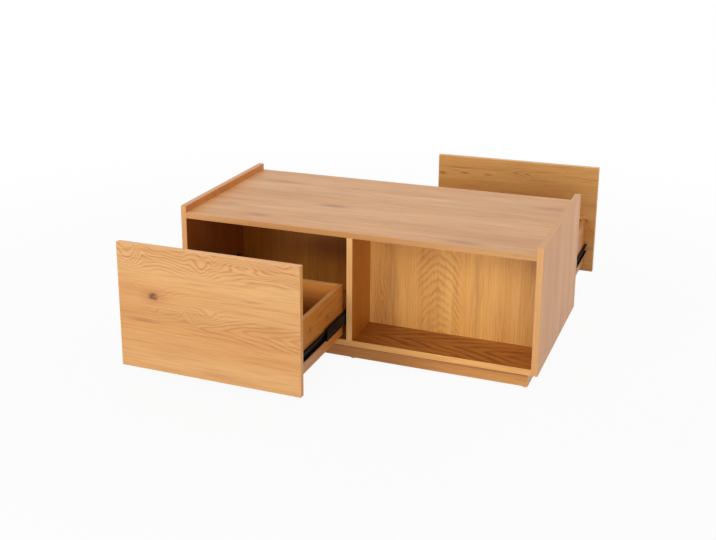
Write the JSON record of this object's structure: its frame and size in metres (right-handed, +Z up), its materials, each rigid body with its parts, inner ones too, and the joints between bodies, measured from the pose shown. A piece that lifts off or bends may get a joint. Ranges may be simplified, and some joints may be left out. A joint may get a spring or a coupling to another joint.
{
  "type": "coffee table with drawers",
  "caption": "Low wood-look coffee table with raised side panels, open niches and full-front drawers on ball bearing slides that pull out to opposite sides.",
  "frame": {"origin": "on the floor, under the middle of the table", "axes": "+X to the right along the front, +Y from front to rear, +Z up"},
  "size_m": [1.1, 1.302, 0.424],
  "materials": {
    "faced_board": "knotty oak grain facing, satin",
    "drawer_box_board": "knotty oak grain facing, satin",
    "drawer_bottom_board": "oak grain facing on thin fibreboard",
    "plinth_board": "knotty oak grain facing, satin",
    "plinth_block_wood": "raw softwood",
    "beech_dowel": "raw beech, fluted",
    "black_slide_steel": "black, satin",
    "zinc_plated_steel": "zinc plated",
    "bearing_steel": "polished",
    "glide_plastic": "moulded, matt"
  },
  "bodies": {
    "carcass": {"left_gable": "faced_board", "right_gable": "faced_board", "top_panel": "faced_board", "bottom_panel": "faced_board", "centre_divider": "faced_board", "front_niche_back": "faced_board", "rear_niche_back": "faced_board", "plinth_front_rail": "plinth_board", "plinth_rear_rail": "plinth_board", "plinth_left_rail": "plinth_board", "plinth_right_rail": "plinth_board", "plinth_middle_rail": "plinth_board", "plinth_corner_blocks": "plinth_block_wood", "plinth_screws": "zinc_plated_steel", "floor_glides": "glide_plastic", "cam_locks": "zinc_plated_steel", "cam_bolts": "zinc_plated_steel", "carcass_dowels": "beech_dowel", "outer_slide_screws": "zinc_plated_steel", "front_drawer_left_slide_outer": "black_slide_steel", "front_drawer_right_slide_outer": "black_slide_steel", "rear_drawer_left_slide_outer": "black_slide_steel", "rear_drawer_right_slide_outer": "black_slide_steel"},
    "front_drawer": {"front_drawer_front": "faced_board", "front_drawer_inner_front": "drawer_box_board", "front_drawer_left_side": "drawer_box_board", "front_drawer_right_side": "drawer_box_board", "front_drawer_back": "drawer_box_board", "front_drawer_bottom": "drawer_bottom_board", "front_drawer_box_dowels": "beech_dowel", "front_drawer_front_screws": "zinc_plated_steel", "front_drawer_left_slide_inner": "black_slide_steel", "front_drawer_right_slide_inner": "black_slide_steel", "front_drawer_slide_screws": "zinc_plated_steel"},
    "front_drawer_slide_middles": {"front_drawer_left_slide_middle": "black_slide_steel", "front_drawer_right_slide_middle": "black_slide_steel"},
    "front_drawer_outer_cages": {"front_drawer_outer_ball_cages": "zinc_plated_steel", "front_drawer_outer_balls": "bearing_steel"},
    "front_drawer_inner_cages": {"front_drawer_inner_ball_cages": "zinc_plated_steel", "front_drawer_inner_balls": "bearing_steel"},
    "rear_drawer": {"rear_drawer_front": "faced_board", "rear_drawer_inner_front": "drawer_box_board", "rear_drawer_left_side": "drawer_box_board", "rear_drawer_right_side": "drawer_box_board", "rear_drawer_back": "drawer_box_board", "rear_drawer_bottom": "drawer_bottom_board", "rear_drawer_box_dowels": "beech_dowel", "rear_drawer_front_screws": "zinc_plated_steel", "rear_drawer_left_slide_inner": "black_slide_steel", "rear_drawer_right_slide_inner": "black_slide_steel", "rear_drawer_slide_screws": "zinc_plated_steel"},
    "rear_drawer_slide_middles": {"rear_drawer_left_slide_middle": "black_slide_steel", "rear_drawer_right_slide_middle": "black_slide_steel"},
    "rear_drawer_outer_cages": {"rear_drawer_outer_ball_cages": "zinc_plated_steel", "rear_drawer_outer_balls": "bearing_steel"},
    "rear_drawer_inner_cages": {"rear_drawer_inner_ball_cages": "zinc_plated_steel", "rear_drawer_inner_balls": "bearing_steel"}
  },
  "joints": [
    {"name": "front_drawer_pull", "type": "slide", "parent": "carcass", "child": "front_drawer", "axis": [0, -1, 0], "range_m": [-0.35, 0]},
    {"name": "front_drawer_slide_middles_run", "type": "slide", "parent": "carcass", "child": "front_drawer_slide_middles", "axis": [0, -1, 0], "range_m": [-0.175, 0]},
    {"name": "front_drawer_outer_cages_run", "type": "slide", "parent": "carcass", "child": "front_drawer_outer_cages", "axis": [0, -1, 0], "range_m": [-0.0875, 0]},
    {"name": "front_drawer_inner_cages_run", "type": "slide", "parent": "carcass", "child": "front_drawer_inner_cages", "axis": [0, -1, 0], "range_m": [-0.2625, 0]},
    {"name": "rear_drawer_pull", "type": "slide", "parent": "carcass", "child": "rear_drawer", "axis": [0, 1, 0], "range_m": [-0.35, 0]},
    {"name": "rear_drawer_slide_middles_run", "type": "slide", "parent": "carcass", "child": "rear_drawer_slide_middles", "axis": [0, 1, 0], "range_m": [-0.175, 0]},
    {"name": "rear_drawer_outer_cages_run", "type": "slide", "parent": "carcass", "child": "rear_drawer_outer_cages", "axis": [0, 1, 0], "range_m": [-0.0875, 0]},
    {"name": "rear_drawer_inner_cages_run", "type": "slide", "parent": "carcass", "child": "rear_drawer_inner_cages", "axis": [0, 1, 0], "range_m": [-0.2625, 0]}
  ],
  "couplings": [
    {"joint": "front_drawer_slide_middles_run", "follows": "front_drawer_pull", "ratio": 0.5},
    {"joint": "front_drawer_outer_cages_run", "follows": "front_drawer_pull", "ratio": 0.25},
    {"joint": "front_drawer_inner_cages_run", "follows": "front_drawer_pull", "ratio": 0.75},
    {"joint": "rear_drawer_slide_middles_run", "follows": "rear_drawer_pull", "ratio": 0.5},
    {"joint": "rear_drawer_outer_cages_run", "follows": "rear_drawer_pull", "ratio": 0.25},
    {"joint": "rear_drawer_inner_cages_run", "follows": "rear_drawer_pull", "ratio": 0.75}
  ]
}
